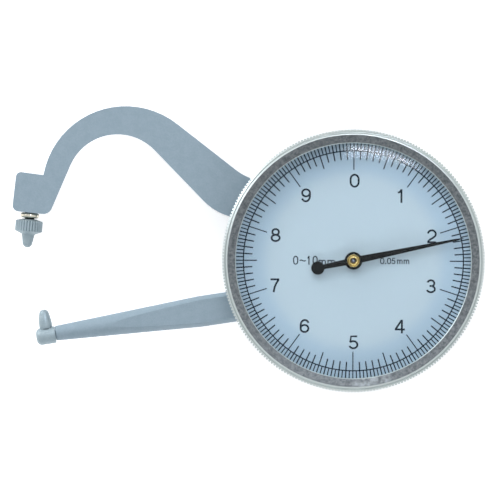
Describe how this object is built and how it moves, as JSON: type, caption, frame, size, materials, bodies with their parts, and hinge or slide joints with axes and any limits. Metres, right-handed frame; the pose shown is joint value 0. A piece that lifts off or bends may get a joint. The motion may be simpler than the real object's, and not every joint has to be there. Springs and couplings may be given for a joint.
{
  "type": "dial caliper gauge",
  "caption": "Dial caliper gauge: round knurled dial housing with a straight fixed lower arm and an arched pivoting upper arm that ends in an adjustable anvil.",
  "frame": {"origin": "on the pointer axis at the flat back face", "axes": "+X to the right of the dial, away from the arms; +Y to its twelve; +Z out of the dial towards the reader"},
  "size_m": [0.0897, 0.0544, 0.0152],
  "materials": {
    "arm_paint": "silver blue paint with a fine grain",
    "bezel_chrome": "satin chrome, knurled rim",
    "brass": "turned",
    "case_paint": "smooth grey paint",
    "chrome": "bright",
    "cover_steel": "brushed",
    "crystal_clear": "clear",
    "dial_card": "matt pale blue",
    "pointer_black": "satin black",
    "spring_steel": "blued",
    "steel": "turned"
  },
  "bodies": {
    "case": {"back_cover": "cover_steel", "back_cover_screw_1": "steel", "back_cover_screw_2": "steel", "back_cover_screw_3": "steel", "case_body": "case_paint", "fixed_arm": "arm_paint", "fixed_arm_pin_1": "steel", "fixed_arm_pin_2": "steel", "hairspring": "spring_steel", "hairspring_stud": "brass", "lower_plate": "brass", "movement_pillar_1": "brass", "movement_pillar_2": "brass", "movement_pillar_3": "brass", "movement_screw_1": "steel", "movement_screw_2": "steel", "movement_screw_3": "steel", "pivot_shaft": "steel", "return_spring": "spring_steel", "spring_post": "steel", "stylus": "arm_paint", "stylus_cap": "arm_paint", "upper_plate": "brass"},
    "arm": {"arm_spring_pin": "steel", "moving_arm": "arm_paint", "sector_gear": "brass", "sector_screw_1": "steel", "sector_screw_2": "steel"},
    "anvil": {"anvil_spindle": "arm_paint"},
    "nut": {"lock_nut": "chrome"},
    "intermediate": {"intermediate_pinion": "steel", "intermediate_wheel": "brass"},
    "pointer_group": {"centre_pinion": "steel", "hairspring_collet": "brass", "pointer": "pointer_black", "pointer_boss": "brass"},
    "bezel_group": {"bezel_retaining_ring": "spring_steel", "bezel_ring": "bezel_chrome", "crystal": "crystal_clear", "dial_plate": "dial_card", "dial_spacer_ring": "steel"}
  },
  "joints": [
    {"name": "arm_pivot", "type": "hinge", "parent": "case", "child": "arm", "pos_m": [-0.01455, 0.00907, 0.0046], "axis": [0, 0, 1], "range_deg": [0, 14.62], "stiffness_Nm_per_rad": 0.04, "springref_deg": 45.84, "deforming": ["return_spring"]},
    {"name": "bezel_turn", "type": "hinge", "parent": "case", "child": "bezel_group", "pos_m": [0, 0, 0.009], "axis": [0, 0, 1], "continuous": true},
    {"name": "intermediate_turn", "type": "hinge", "parent": "case", "child": "intermediate", "pos_m": [-0.0048, 0.00017, 0.00705], "axis": [0, 0, 1], "range_deg": [-147.16, 1]},
    {"name": "pointer_turn", "type": "hinge", "parent": "case", "child": "pointer_group", "pos_m": [0, 0, 0.01205], "axis": [0, 0, 1], "range_deg": [-1, 439.48], "deforming": ["hairspring"]},
    {"name": "anvil_turn", "type": "hinge", "parent": "arm", "child": "anvil", "pos_m": [-0.06196, 0.00254, 0.0046], "axis": [0.0872, 0.9962, 0], "range_deg": [-180, 180]},
    {"name": "lock_nut_turn", "type": "hinge", "parent": "arm", "child": "nut", "pos_m": [-0.06196, 0.00254, 0.0046], "axis": [0.0872, 0.9962, 0], "range_deg": [-180, 180]}
  ],
  "couplings": [
    {"joint": "intermediate_turn", "follows": "arm_pivot", "ratio": -10},
    {"joint": "pointer_turn", "follows": "arm_pivot", "ratio": 30}
  ]
}
